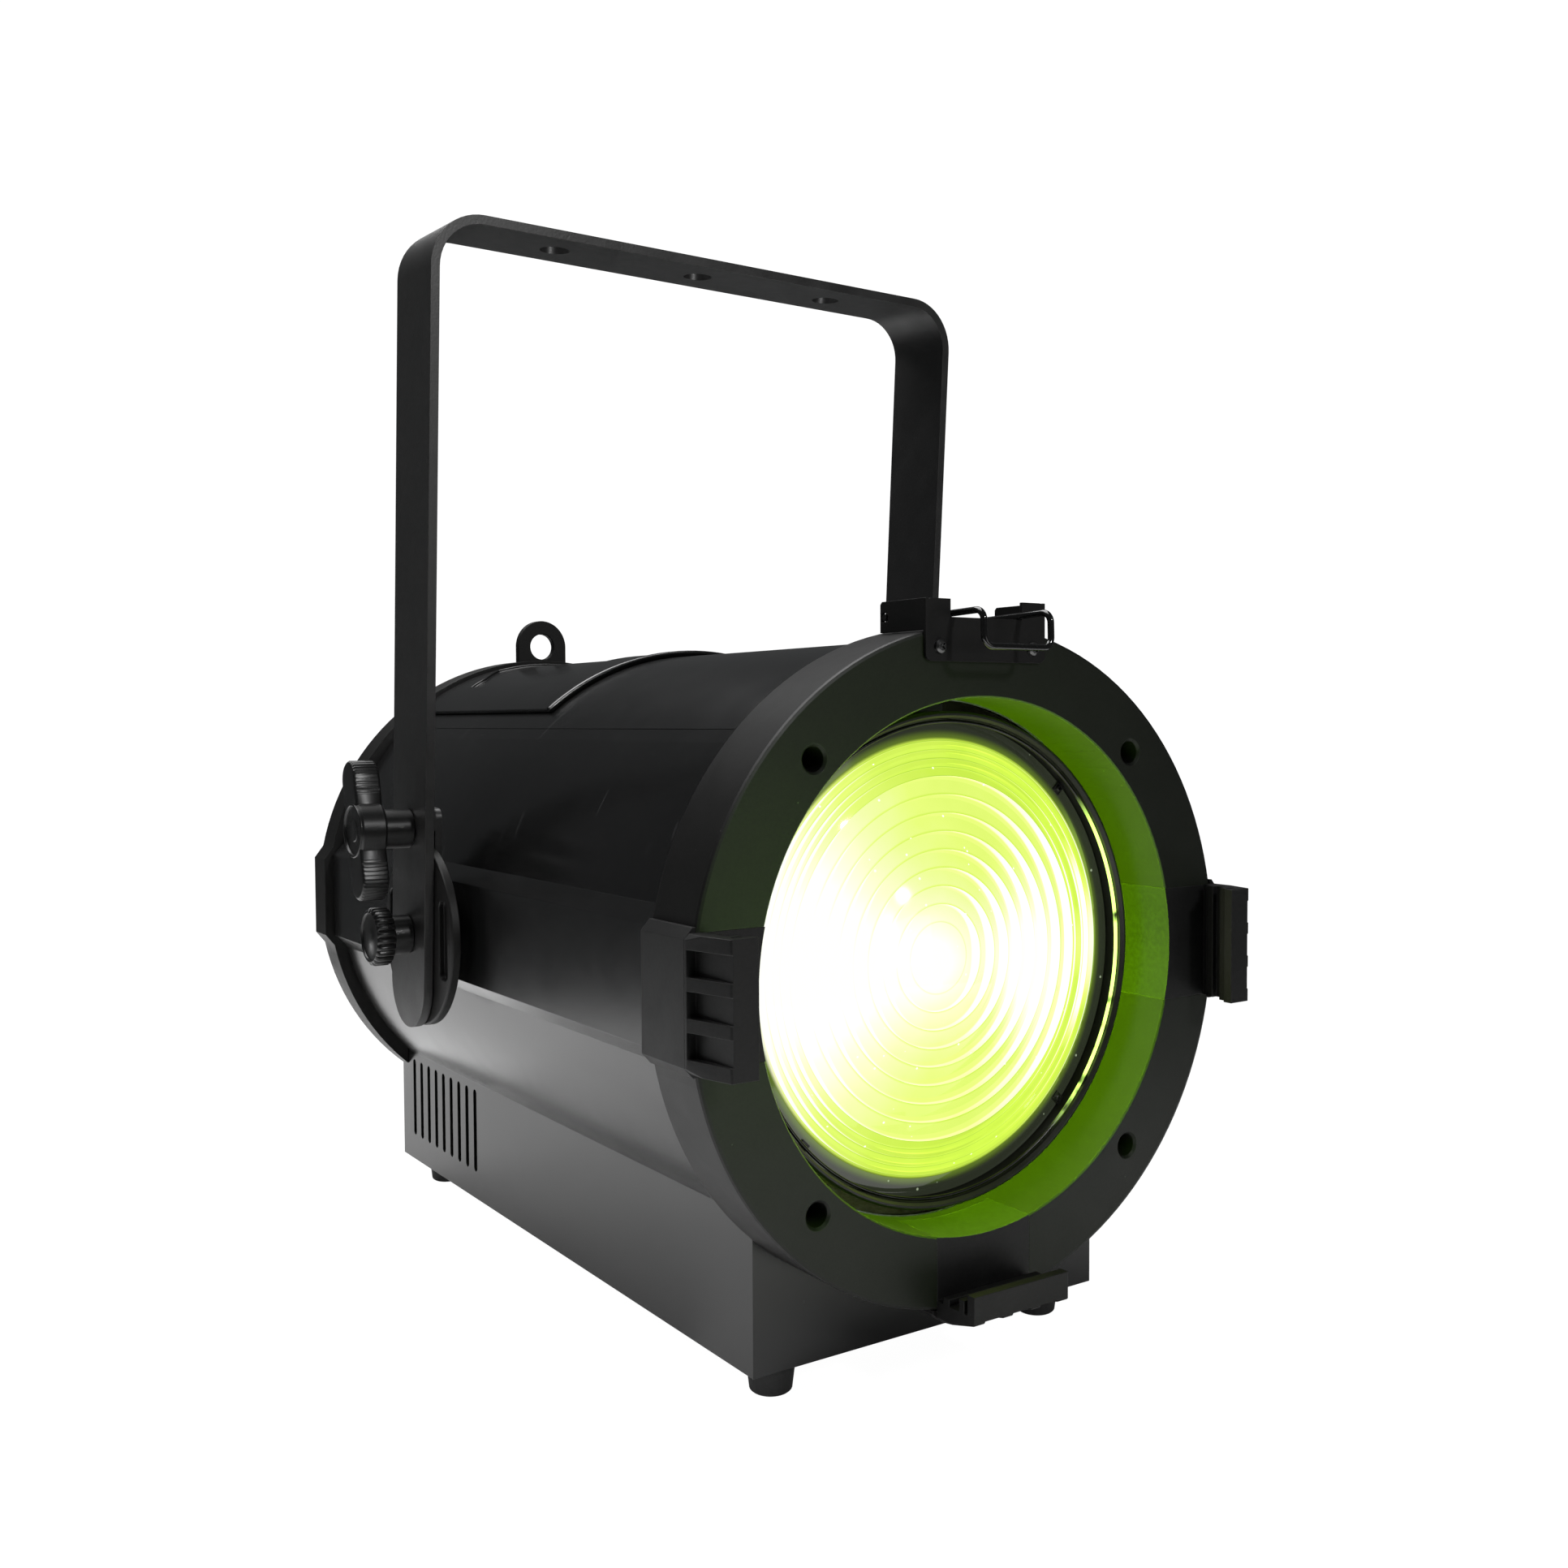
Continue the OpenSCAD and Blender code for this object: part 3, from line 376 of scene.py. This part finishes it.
def make_materials():
    """The finish of each material slot, by the slot's name."""
    surface_material("casing_paint", grey(0.004), grey(0.007), (0.20, 0.23), grain=1500, relief=0.012,
                     wear=0.3, edge=0.08, dust=0.05, scratch=0.06)
    surface_material("cast_paint", grey(0.004, 0.03), grey(0.006, 0.03), (0.42, 0.48), grain=1100,
                     relief=0.02, wear=0.35, edge=0.10, dust=0.06, specular=0.26)
    surface_material("yoke_paint", grey(0.008, 0.02), grey(0.012, 0.02), (0.34, 0.44), grain=1000,
                     relief=0.05, wear=0.5, edge=0.10, dust=0.04, specular=0.75)
    surface_material("clip_plastic", grey(0.005), grey(0.008), (0.42, 0.5), grain=700, relief=0.02, wear=0.5,
                     edge=0.12, dust=0.05, specular=0.25)
    surface_material("black_plastic", grey(0.006), grey(0.009), (0.34, 0.46), grain=800, relief=0.015)
    surface_material("knob_plastic", grey(0.005), grey(0.008), (0.27, 0.33), grain=600, relief=0.010,
                     dust=0.03, specular=0.38, round_mm=0.15)
    surface_material("button_plastic", grey(0.045), grey(0.06), (0.4, 0.5), grain=700, relief=0.02)
    surface_material("blue_plastic", (0.012, 0.05, 0.28), (0.018, 0.07, 0.36), (0.34, 0.44), grain=600,
                     relief=0.012)
    surface_material("grey_plastic", grey(0.40), grey(0.48), (0.36, 0.46), grain=600, relief=0.012)
    surface_material("rubber", grey(0.010), grey(0.016), (0.55, 0.7), grain=900, relief=0.04)
    surface_material("bright_steel", grey(0.55), grey(0.66), (0.18, 0.3), grain=2200, relief=0.006,
                     metallic=1.0)
    surface_material("zinc_steel", (0.42, 0.43, 0.44), (0.56, 0.57, 0.58), (0.32, 0.48), grain=500,
                     relief=0.01, metallic=1.0, blotch=60.0)
    surface_material("aluminium", grey(0.52), grey(0.64), (0.3, 0.42), grain=1400, relief=0.008, metallic=1.0)
    surface_material("mirror_aluminium", grey(0.8), grey(0.86), (0.06, 0.12), grain=900, relief=0.003,
                     metallic=1.0)
    surface_material("copper_board", (0.5, 0.26, 0.14), (0.6, 0.32, 0.18), (0.3, 0.4), grain=900,
                     relief=0.006, metallic=1.0)
    surface_material("circuit_board", (0.008, 0.06, 0.02), (0.014, 0.10, 0.035), (0.3, 0.42), grain=500,
                     relief=0.03)
    surface_material("display_glass", (0.006, 0.008, 0.010), (0.009, 0.012, 0.015), (0.05, 0.09), grain=700,
                     relief=0.001, coat=0.6)
    surface_material("brass", (0.55, 0.38, 0.14), (0.66, 0.47, 0.19), (0.25, 0.36), grain=900, relief=0.006,
                     metallic=1.0)
    surface_material("bail_wire", grey(0.003), grey(0.005), (0.07, 0.11), grain=700, relief=0.004, coat=0.3,
                     round_mm=0.1)
    surface_material("black_steel", grey(0.10), grey(0.16), (0.28, 0.38), grain=1200, relief=0.01,
                     metallic=1.0, round_mm=0.1)


def glow_material(name, colour, strength):
    """A lit surface whose brightness ripples slightly."""
    material, tree = blank_material(name)
    ripple = add_node(tree, "ShaderNodeTexVoronoi", {"Vector": coordinates(tree), "Scale": 420.0})
    level = ranged(tree, ripple.outputs["Distance"], 0.0, 1.0, strength, strength * 0.6)
    shader = add_node(tree, "ShaderNodeEmission", {"Color": (*colour, 1), "Strength": level})
    finish_material(tree, shader.outputs[0])
    materials[name] = material


def ramp(tree, factor, stops):
    """A colour that runs through (position, colour) stops."""
    made = add_node(tree, "ShaderNodeValToRGB", {"Fac": factor})
    band = made.color_ramp
    while len(band.elements) < len(stops):
        band.elements.new(0.5)
    for element, (position, colour) in zip(band.elements, stops):
        element.position = position
        element.color = (*colour, 1)
    return made.outputs["Color"]


def blob(tree, x, z, centre, size):
    """1 at a centre on the lens, falling to 0 over about its size, in millimetres."""
    across = over(tree, minus(tree, x, centre[0]), size[0])
    upward = over(tree, minus(tree, z, centre[1]), size[1])
    square = plus(tree, times(tree, across, across), times(tree, upward, upward))
    return math_node(tree, "EXPONENT", times(tree, square, -1.0))


def lens_steps(tree, radius, side):
    """The bright line and the dark trough at each step, and where the narrow outer steps are."""
    start = DISC_R - WIDE_STEP
    wide = over(tree, minus(tree, math_node(tree, "MAXIMUM", radius, start), start), WIDE_STEP)
    narrow = over(tree, minus(tree, radius, NARROW_FROM), NARROW_STEP)
    outer = math_node(tree, "GREATER_THAN", radius, NARROW_FROM + 0.05)
    step = add_node(tree, "ShaderNodeMix", {"Factor": outer, "A": math_node(tree, "MODULO", wide, 1.0),
                                             "B": math_node(tree, "MODULO", narrow, 1.0)}).outputs[0]
    crescent = minus(tree, 0.93, times(tree, side, 0.5))
    line = math_node(tree, "DIVIDE", minus(tree, step, crescent), 0.12, clamp=True)
    trough = times(tree, smooth(tree, step, 0.14, 0.0), math_node(tree, "GREATER_THAN", radius, start + 0.05))
    return line, trough, outer


def lens_material():
    """The lit stepped lens: lime light that is white where the source shows, in a dark smoky flange with a
    painted green glow next to the lit zone.
    """
    material, tree = blank_material("lens_glass")
    where = coordinates(tree)
    split = add_node(tree, "ShaderNodeSeparateXYZ", {"Vector": where})
    x = times(tree, split.outputs["X"], 1000.0)
    z = minus(tree, times(tree, split.outputs["Z"], 1000.0), AXIS_Z)
    radius = math_node(tree, "SQRT", plus(tree, times(tree, x, x), times(tree, z, z)))
    side = over(tree, math_node(tree, "ABSOLUTE", x), plus(tree, radius, 0.5))
    side = math_node(tree, "POWER", side, 3.0)
    line, trough, outer = lens_steps(tree, radius, side)
    haze = noise(tree, where, 55.0, 4.0)
    cells = add_node(tree, "ShaderNodeTexVoronoi", {"Vector": where, "Scale": 130.0}).outputs["Distance"]
    level = plus(tree, 0.53, *[times(tree, blob(tree, x, z, centre, size), gain)
                               for centre, size, gain in LENS_GLOWS])
    level = plus(tree, level, times(tree, line, plus(tree, 0.20, times(tree, side, 0.40))),
                 times(tree, trough, -0.15), times(tree, outer, -0.14),
                 times(tree, minus(tree, haze, 0.5), 0.10), smooth(tree, cells, 0.075, 0.045, 0.55))
    lit = ramp(tree, level, [(0.0, (0.10, 0.22, 0.01)), (0.25, (0.36, 0.62, 0.035)),
                             (0.40, (0.62, 0.88, 0.075)), (0.58, (0.82, 1.0, 0.20)),
                             (0.78, (1.0, 1.0, 0.62)), (0.95, (1.08, 1.08, 1.0))])
    # painted glow: green emission on the flange, fading outward from the lit zone's edge
    near = times(tree, smooth(tree, radius, 89.5, 85.8), 0.085)
    specks = smooth(tree, cells, 0.09, 0.05, 0.30)
    flange = add_node(tree, "ShaderNodeCombineColor", {
        "Red": plus(tree, 0.020, near, specks),
        "Green": plus(tree, 0.024, times(tree, near, 1.7), times(tree, specks, 1.2)),
        "Blue": plus(tree, 0.014, times(tree, specks, 0.8))})
    colour = mixed(tree, smooth(tree, radius, 84.6, 86.2), lit, flange.outputs[0])
    shader = add_node(tree, "ShaderNodeBsdfPrincipled", {
        "Base Color": (0.01, 0.012, 0.01, 1), "Roughness": 0.06, "Emission Color": colour,
        "Emission Strength": 1.0, "Coat Weight": 0.3, "Coat Roughness": 0.03})
    finish_material(tree, shader.outputs[0])
    materials["lens_glass"] = material


def wire_with_painted_glint():
    """Dark sprung wire with a painted reflection of the lens's light: lime emission along its right side, in
    broken stretches.
    """
    material, tree = blank_material("retaining_wire_painted_glint")
    where = coordinates(tree)
    split = add_node(tree, "ShaderNodeSeparateXYZ", {"Vector": where})
    z = minus(tree, split.outputs["Z"], AXIS_Z * MM)
    turn = math_node(tree, "ARCTAN2", z, split.outputs["X"])
    breaks = noise(tree, where, 75.0, 2.0)
    # painted glint: the wire's right side emits lime light in place of the lens's light reflected in it
    lit = times(tree, smooth(tree, turn, -0.95, -0.55), smooth(tree, turn, 0.74, 0.46))
    lit = times(tree, lit, smooth(tree, breaks, 0.30, 0.40, 3.0))
    tone = ranged(tree, breaks, 0.3, 0.7, 0.03, 0.07)
    colour = add_node(tree, "ShaderNodeCombineColor", {"Red": tone, "Green": tone, "Blue": tone})
    shader = add_node(tree, "ShaderNodeBsdfPrincipled", {
        "Base Color": colour.outputs[0], "Roughness": 0.25, "Metallic": 1.0,
        "Emission Color": (0.6, 1.0, 0.16, 1), "Emission Strength": lit})
    finish_material(tree, shader.outputs[0])
    materials["retaining_wire_painted_glint"] = material


make_materials()
glow_material("led_emitter", (0.75, 1.0, 0.12), 6.0)
lens_material()
wire_with_painted_glint()

# ---- mesh helpers ------------------------------------------------------------------------


def add_piece(shape, name, body, slot, replaces=(), smooth_angle=25.0, material=None):
    """Links a bmesh as a piece of the object that rides on a body and takes a slot's finish."""
    mesh = bpy.data.meshes.new(name)
    shape.to_mesh(mesh)
    shape.free()
    for polygon in mesh.polygons:
        polygon.use_smooth = True
    mesh.set_sharp_from_angle(angle=math.radians(smooth_angle))
    mesh.materials.append(materials[material or slot])
    piece = bpy.data.objects.new(name, mesh)
    bpy.context.scene.collection.objects.link(piece)
    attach(piece, body)
    if replaces:
        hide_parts(*replaces)
    return piece


def bridge(shape, rings):
    """Faces between each ring of corners and the next; a ring can be one corner repeated."""
    for one, two in zip(rings, rings[1:]):
        for i in range(len(one)):
            k = (i + 1) % len(one)
            corners = []
            for corner in (one[i], one[k], two[k], two[i]):
                if corner not in corners:
                    corners.append(corner)
            shape.faces.new(corners)


def around(segments):
    """Evenly spaced angles of a full turn."""
    return [2 * math.pi * i / segments for i in range(segments)]


def lathe(profile, segments):
    """Turns (radius, y) points about the lens axis, and closes a profile that stays clear of it."""
    shape = bmesh.new()
    rings = []
    for radius, y in profile:
        if radius == 0.0:
            rings.append([shape.verts.new(place(0, y, 0))] * segments)
        else:
            rings.append([shape.verts.new(place(radius * math.cos(a), y, radius * math.sin(a)))
                          for a in around(segments)])
    if profile[0][0] > 0.0:
        rings.append(rings[0])
    bridge(shape, rings)
    bmesh.ops.recalc_face_normals(shape, faces=shape.faces)
    return shape


def clean_copy(name, keep=None):
    """A node's mesh with its flat triangles joined into whole faces; keep cuts it at (y, side) first."""
    shape = bmesh.new()
    shape.from_mesh(nodes[name].data)
    bmesh.ops.remove_doubles(shape, verts=shape.verts, dist=2e-6)
    if keep:
        level, side = keep
        bmesh.ops.bisect_plane(shape, geom=shape.verts[:] + shape.edges[:] + shape.faces[:], dist=1e-6,
                               plane_co=place(0, level, 0), plane_no=(0, -side, 0), clear_outer=True)
        rim = [e for e in shape.edges if e.is_boundary]
        if rim:
            bmesh.ops.triangle_fill(shape, edges=rim, use_beauty=True)
    bmesh.ops.dissolve_limit(shape, angle_limit=math.radians(0.4), verts=shape.verts, edges=shape.edges)
    bmesh.ops.recalc_face_normals(shape, faces=shape.faces)
    return shape


def soften(piece, width):
    """Rounds a piece's sharp edges; width in millimetres."""
    bevel = piece.modifiers.new("edge_rounding", "BEVEL")
    bevel.width, bevel.segments = width * MM, EDGE_SEGMENTS
    bevel.limit_method, bevel.angle_limit = "ANGLE", math.radians(EDGE_ANGLE)
    bevel.use_clamp_overlap = True
    bevel.miter_outer = "MITER_ARC"
    weighted = piece.modifiers.new("flat_faces", "WEIGHTED_NORMAL")
    weighted.keep_sharp = True


def refined(name, width, piece_name=None, keep=None):
    """A node's shape with rounded edges, in the node's place."""
    piece = add_piece(clean_copy(name, keep), piece_name or name + "_fine", body_of_node[name],
                      slot_of_node[name], [name])
    soften(piece, width)
    return piece


# ---- the CAD nodes' own finishes ----------------------------------------------------------

for name, node in nodes.items():
    if not node.material_slots:
        node.data.materials.append(None)
    for holder in node.material_slots:
        holder.material = materials[slot_of_node[name]]

# ---- lens --------------------------------------------------------------------------------


def sag(radius):
    """How far a whole lens's face would have fallen back at a radius."""
    return 0.0042 * radius * radius


def lens_profile():
    """Stepped front with its risers, the flange and the flat back."""
    profile = []
    points = 8
    for inner, outer in zip(ZONES, ZONES[1:]):
        fall = min(2.4, sag(outer) - sag(inner))
        for k in range(points + 1):
            t = k / points
            radius = inner + (outer - inner) * t
            profile.append((radius, LENS_BASE - fall * (1 - t * radius / outer)))
    chamfer = 0.3
    profile += [(FLANGE_R - chamfer, LENS_BASE), (FLANGE_R, LENS_BASE + chamfer),
                (FLANGE_R, LENS_BACK - chamfer), (FLANGE_R - chamfer, LENS_BACK), (0.0, LENS_BACK)]
    return profile


add_piece(lathe(lens_profile(), 288), "fresnel_lens", "carriage", "lens_glass", ["lens"], 20.0)
wire_section = [(FLANGE_R - 0.2 - WIRE_R * (1 + math.cos(a)), WIRE_Y + WIRE_R * math.sin(a))
                for a in around(16)]
add_piece(lathe(wire_section, 360), "lens_retaining_wire", "carriage", "black_steel",
          material="retaining_wire_painted_glint")

# ---- seams -------------------------------------------------------------------------------


def seam_strip(side):
    """A strip behind the seam between the top cover and the casing, which keeps the light in."""
    angles = [math.radians(SEAM_ANGLE + STRIP_STEP * k) for k in range(-2, 3)]
    section = [(STRIP_OUTER_R, a) for a in angles] + [(STRIP_INNER_R, a) for a in reversed(angles)]
    shape = bmesh.new()
    ends = []
    for y in (STRIP_FRONT, STRIP_BACK):
        ends.append([shape.verts.new(place(side * r * math.sin(a), y, TUBE_RISE + r * math.cos(a)))
                     for r, a in section])
    bridge(shape, ends)
    for end in ends:
        shape.faces.new(end)
    bmesh.ops.recalc_face_normals(shape, faces=shape.faces)
    return shape


add_piece(seam_strip(-1), "seam_strip_left", "fixture", "casing_paint")
add_piece(seam_strip(1), "seam_strip_right", "fixture", "casing_paint")

# ---- rounded edges -----------------------------------------------------------------------

for name, width in EDGE_WIDTHS.items():
    piece = refined(name, width)
    if name == "front_ring":
        lit_by_lens.objects.link(piece)
        ring_only.objects.link(piece)
for clip in ("clip_left", "clip_right", "clip_bottom"):
    refined(clip, COMB_EDGE, clip + "_comb", keep=(CLIP_CUT, -1))
    lit_by_lens.objects.link(refined(clip, BASE_EDGE, clip + "_base", keep=(CLIP_CUT, 1)))

# ---- knobs -------------------------------------------------------------------------------


def yoke_point(x, across, up, height, side):
    """A point by a yoke arm: across and up are measured from a knob's axis, height above the pivot."""
    lean = math.radians(YOKE_LEAN)
    rise = up + height
    y = across * math.cos(lean) - rise * math.sin(lean)
    z = across * math.sin(lean) + rise * math.cos(lean)
    return place(side * x, PIVOT_Y + y, PIVOT_Z + z)


def turned(loops, height, side, segments):
    """A knob from loops of (x, radius or radius by angle), closed at both ends."""
    shape = bmesh.new()
    rings = []
    for x, radius in loops:
        ring = []
        for a in around(segments):
            r = radius(a) if callable(radius) else radius
            ring.append(shape.verts.new(yoke_point(x, r * math.cos(a), r * math.sin(a), height, side)))
        rings.append(ring)
    bridge(shape, rings)
    for ring in (rings[0], rings[-1]):
        shape.faces.new(ring)
    bmesh.ops.recalc_face_normals(shape, faces=shape.faces)
    return shape


def wing_radius(angle):
    """Outline of the wing knob: the farthest point of its lobes, arms and hub in a direction."""
    lean = math.radians(WING_LEAN)
    y, z = math.cos(angle - lean), math.sin(angle - lean)
    farthest = HUB_R
    for s in (-1, 1):
        along = z * s * LOBE_REACH
        inside = along * along - (LOBE_REACH * LOBE_REACH - LOBE_R * LOBE_R)
        if inside > 0 and along > 0:
            farthest = max(farthest, along + math.sqrt(inside))
        if z * s > 0:
            farthest = max(farthest, min(LOBE_R / max(abs(y), 1e-6), LOBE_REACH / abs(z)))
    return farthest


def wing_outlines():
    """The wing's outline, and the same outline with fine ribs on the wings' ends, by angle."""
    plain = [wing_radius(a) for a in around(WING_SEGMENTS)]
    for _ in range(WING_SMOOTHING):
        plain = [(plain[i - 1] + 2 * plain[i] + plain[(i + 1) % WING_SEGMENTS]) / 4
                 for i in range(WING_SEGMENTS)]
    ribbed, travelled = [], 0.0
    step = 2 * math.pi / WING_SEGMENTS
    for i, radius in enumerate(plain):
        travelled += math.hypot(radius * step, plain[(i + 1) % WING_SEGMENTS] - radius)
        fade = min(1.0, max(0.0, (radius - WING_RIB_FROM) / 1.5))
        groove = 0.5 - 0.5 * math.cos(2 * math.pi * travelled / WING_RIB_PITCH)
        ribbed.append(radius - WING_RIB_DEPTH * fade * groove ** 2)
    return plain, ribbed


def add_lock_knob(side_name, side):
    """Stud, neck and ribbed wing with a sunk cap, as loops from the stud's inner end outward."""
    plain, ribbed = wing_outlines()
    near = YOKE_HALF + WING_DEPTH
    far = near + WING_THICK

    def index(angle):
        return int(round(angle / (2 * math.pi) * WING_SEGMENTS)) % WING_SEGMENTS

    def body(angle):
        return ribbed[index(angle)] - 0.1

    def shrunk(amount):
        return lambda angle: max(12.0, plain[index(angle)] - amount)

    stud_in = YOKE_HALF - ARM_THICK - DISC_GAP - DISC_THICK - 5
    loops = [(stud_in, STUD_R - 0.5), (stud_in + 0.5, STUD_R), (YOKE_HALF + 0.05, STUD_R),
             (YOKE_HALF + 0.06, NECK_R - 0.5), (YOKE_HALF + 0.5, NECK_R), (near - 0.6, NECK_R),
             (near - 0.1, NECK_R + 0.5), (near, shrunk(1.6)), (near + 0.35, shrunk(0.75)),
             (near + 1.1, body), (far - 1.5, body), (far - 0.7, shrunk(0.8)),
             (far - 0.35, shrunk(1.4)), (far - 0.3, shrunk(2.0)), (far - 0.5, 11.9),
             (far - 0.3, 11.7), (far - 0.07, 11.6), (far - 0.02, 11.3), (far - 0.02, 10.9), (far - 0.3, 10.6),
             (far - 1.0, 10.4), (far - 1.0, 5.0), (far - 0.75, 4.6), (far - 0.75, 0.5)]
    name = "lock_knob_" + side_name
    add_piece(turned(loops, LOCK_UP, side, WING_SEGMENTS), name + "_fine", name, "knob_plastic", [name], 32.0)


def add_pivot_knob(side_name, side):
    """Neck and knurled head with a sunk cap, as loops from the yoke's arm outward."""
    near = YOKE_HALF + KNURL_DEPTH
    far = YOKE_HALF + KNURL_END

    def ribbed(shrink, depth):
        def radius(angle):
            groove = 0.5 - 0.5 * math.cos(KNURL_RIBS * angle)
            return KNURL_R - shrink - depth * (1 - math.sqrt(max(0.0, 1 - groove)))
        return radius

    loops = [(YOKE_HALF + 0.06, NECK_R - 0.5), (YOKE_HALF + 0.5, NECK_R), (near - 0.5, NECK_R),
             (near - 0.05, NECK_R + 0.5), (near, ribbed(1.6, 0.3)), (near + 0.3, ribbed(0.6, 1.0)),
             (near + 0.9, ribbed(0.1, 1.25)), (far - 1.6, ribbed(0.1, 1.25)), (far - 0.8, ribbed(0.45, 1.1)),
             (far - 0.25, ribbed(1.2, 0.6)), (far, 11.2), (far, 10.7), (far - 0.3, 10.4),
             (far - 0.8, 10.2), (far - 0.8, 4.0), (far - 0.6, 3.6), (far - 0.6, 0.5)]
    name = "pivot_knob_" + side_name
    add_piece(turned(loops, 0.0, side, KNURL_SEGMENTS), name + "_fine", name, "knob_plastic", [name], 40.0)


for side_name, side in (("left", -1), ("right", 1)):
    add_lock_knob(side_name, side)
    add_pivot_knob(side_name, side)
